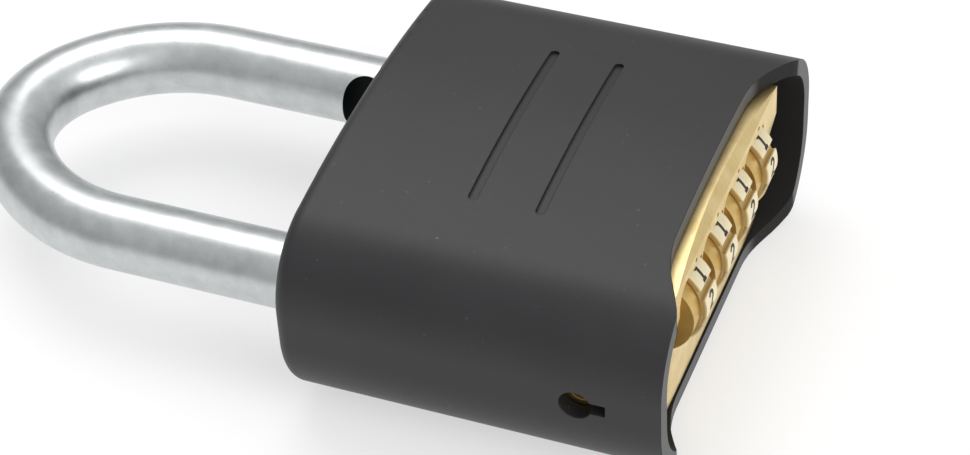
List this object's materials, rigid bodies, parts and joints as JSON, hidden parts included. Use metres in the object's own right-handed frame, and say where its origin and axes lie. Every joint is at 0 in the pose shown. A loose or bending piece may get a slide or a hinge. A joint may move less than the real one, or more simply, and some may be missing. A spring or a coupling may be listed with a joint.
{
  "type": "combination padlock",
  "caption": "Set-your-own combination padlock with a black cast cover, brass number wheels and a chromed shackle, shown open.",
  "frame": {"origin": "on the flat back of the cover, under the middle of the body", "axes": "+X from the shackle towards the number wheels, +Y across the body away from the keyhole side, +Z out of the crowned front"},
  "size_m": [0.0863, 0.0508, 0.0244],
  "materials": {
    "black_cover": "satin",
    "case_brass": "machined",
    "wheel_brass": "satin",
    "shackle_chrome": "polished",
    "plain_steel": "brushed",
    "black_fill": "matte",
    "spring_steel": "smooth"
  },
  "bodies": {
    "lock_body": {"cover": "black_cover", "lock_case": "case_brass", "case_plate": "case_brass", "cover_pin": "case_brass", "heel_pin": "plain_steel", "heel_spring": "spring_steel", "latch_spring": "spring_steel", "fence_spring": "spring_steel", "spindle_spring": "spring_steel", "detent_spring": "spring_steel"},
    "shackle_carrier": {"spring_cup": "plain_steel"},
    "shackle_bow": {"shackle": "shackle_chrome"},
    "latch": {"latch_bolt": "plain_steel"},
    "fence": {"fence_plate": "plain_steel"},
    "spindle_set": {"spindle": "plain_steel", "shift_yoke": "plain_steel"},
    "key_cam": {"change_key_cam": "case_brass", "cam_clip": "spring_steel"},
    "dial_1": {"number_wheel_1": "wheel_brass"},
    "hub_1": {"wheel_hub_1": "case_brass"},
    "dial_2": {"number_wheel_2": "wheel_brass"},
    "hub_2": {"wheel_hub_2": "case_brass"},
    "dial_3": {"number_wheel_3": "wheel_brass"},
    "hub_3": {"wheel_hub_3": "case_brass"},
    "dial_4": {"number_wheel_4": "wheel_brass"},
    "hub_4": {"wheel_hub_4": "case_brass"}
  },
  "joints": [
    {"name": "shackle_lift", "type": "slide", "parent": "lock_body", "child": "shackle_carrier", "axis": [1, 0, 0], "range_m": [0, 0.0117], "stiffness_N_per_m": 150, "springref_m": -0.006, "deforming": ["heel_spring"]},
    {"name": "shackle_swivel", "type": "hinge", "parent": "shackle_carrier", "child": "shackle_bow", "pos_m": [-0.016, -0.015, 0.0106], "axis": [1, 0, 0], "continuous": true},
    {"name": "latch_slide", "type": "slide", "parent": "lock_body", "child": "latch", "axis": [0, 1, 0], "range_m": [0, 0.0022], "deforming": ["latch_spring"]},
    {"name": "fence_slide", "type": "slide", "parent": "lock_body", "child": "fence", "axis": [-1, 0, 0], "range_m": [0, 0.0012], "deforming": ["fence_spring"]},
    {"name": "key_turn", "type": "hinge", "parent": "lock_body", "child": "key_cam", "pos_m": [0.0116, -0.021, 0.0122], "axis": [0, 1, 0], "range_deg": [0, 90]},
    {"name": "spindle_shift", "type": "slide", "parent": "lock_body", "child": "spindle_set", "axis": [0, -1, 0], "range_m": [0, 0.001], "deforming": ["spindle_spring"]},
    {"name": "dial_turn_1", "type": "hinge", "parent": "lock_body", "child": "dial_1", "pos_m": [0.0152, 0.0105, 0.0154], "axis": [0, 1, 0], "continuous": true},
    {"name": "dial_turn_2", "type": "hinge", "parent": "lock_body", "child": "dial_2", "pos_m": [0.0152, 0.0035, 0.0154], "axis": [0, 1, 0], "continuous": true},
    {"name": "dial_turn_3", "type": "hinge", "parent": "lock_body", "child": "dial_3", "pos_m": [0.0152, -0.0035, 0.0154], "axis": [0, 1, 0], "continuous": true},
    {"name": "dial_turn_4", "type": "hinge", "parent": "lock_body", "child": "dial_4", "pos_m": [0.0152, -0.0105, 0.0154], "axis": [0, 1, 0], "continuous": true},
    {"name": "hub_turn_1", "type": "hinge", "parent": "spindle_set", "child": "hub_1", "pos_m": [0.0152, 0.00785, 0.0154], "axis": [0, 1, 0], "continuous": true},
    {"name": "hub_turn_2", "type": "hinge", "parent": "spindle_set", "child": "hub_2", "pos_m": [0.0152, 0.00085, 0.0154], "axis": [0, 1, 0], "continuous": true},
    {"name": "hub_turn_3", "type": "hinge", "parent": "spindle_set", "child": "hub_3", "pos_m": [0.0152, -0.00615, 0.0154], "axis": [0, 1, 0], "continuous": true},
    {"name": "hub_turn_4", "type": "hinge", "parent": "spindle_set", "child": "hub_4", "pos_m": [0.0152, -0.01315, 0.0154], "axis": [0, 1, 0], "continuous": true}
  ],
  "couplings": [
    {"joint": "fence_slide", "follows": "latch_slide", "ratio": 0.54545},
    {"joint": "key_turn", "follows": "spindle_shift", "rad_per_m": 1570.8},
    {"joint": "hub_turn_1", "follows": "dial_turn_1", "ratio": 1},
    {"joint": "hub_turn_2", "follows": "dial_turn_2", "ratio": 1},
    {"joint": "hub_turn_3", "follows": "dial_turn_3", "ratio": 1},
    {"joint": "hub_turn_4", "follows": "dial_turn_4", "ratio": 1}
  ]
}
